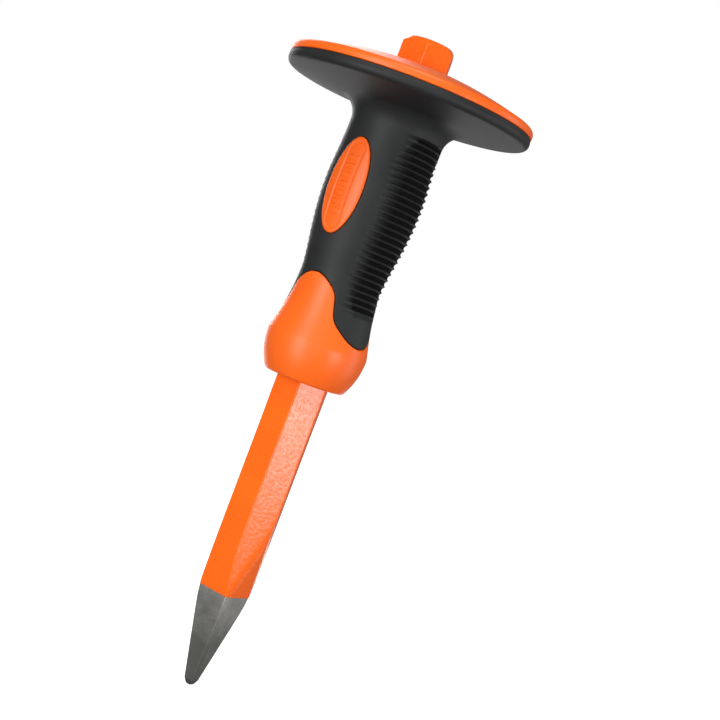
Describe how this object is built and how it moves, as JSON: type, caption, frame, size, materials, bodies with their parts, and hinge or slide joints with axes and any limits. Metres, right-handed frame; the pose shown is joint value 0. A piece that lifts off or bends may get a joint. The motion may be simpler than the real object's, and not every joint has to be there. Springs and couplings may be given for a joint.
{
  "type": "point chisel with hand guard",
  "caption": "Point chisel on a hexagonal steel bar, with a round domed hand guard and a ribbed two-colour moulded handle, for breaking masonry with a hammer.",
  "frame": {"origin": "the blunt end of the point, on the bar's axis", "axes": "+Z along the bar from the point to the struck head, -Y out of the front of the handle, where the oval badge is, +X to the right seen from the front"},
  "size_m": [0.093, 0.093, 0.25],
  "materials": {
    "bar_paint": "glossy paint with a light orange-peel texture; the ground point is bare steel",
    "rigid_orange": "satin moulded plastic",
    "soft_black": "matte soft-touch rubber"
  },
  "bodies": {
    "root": {"chisel_bar": "bar_paint", "core_sleeve": "rigid_orange", "guard_plate": "rigid_orange", "grip_overmould": "soft_black", "badge_front": "rigid_orange", "badge_back": "rigid_orange"}
  },
  "joints": []
}
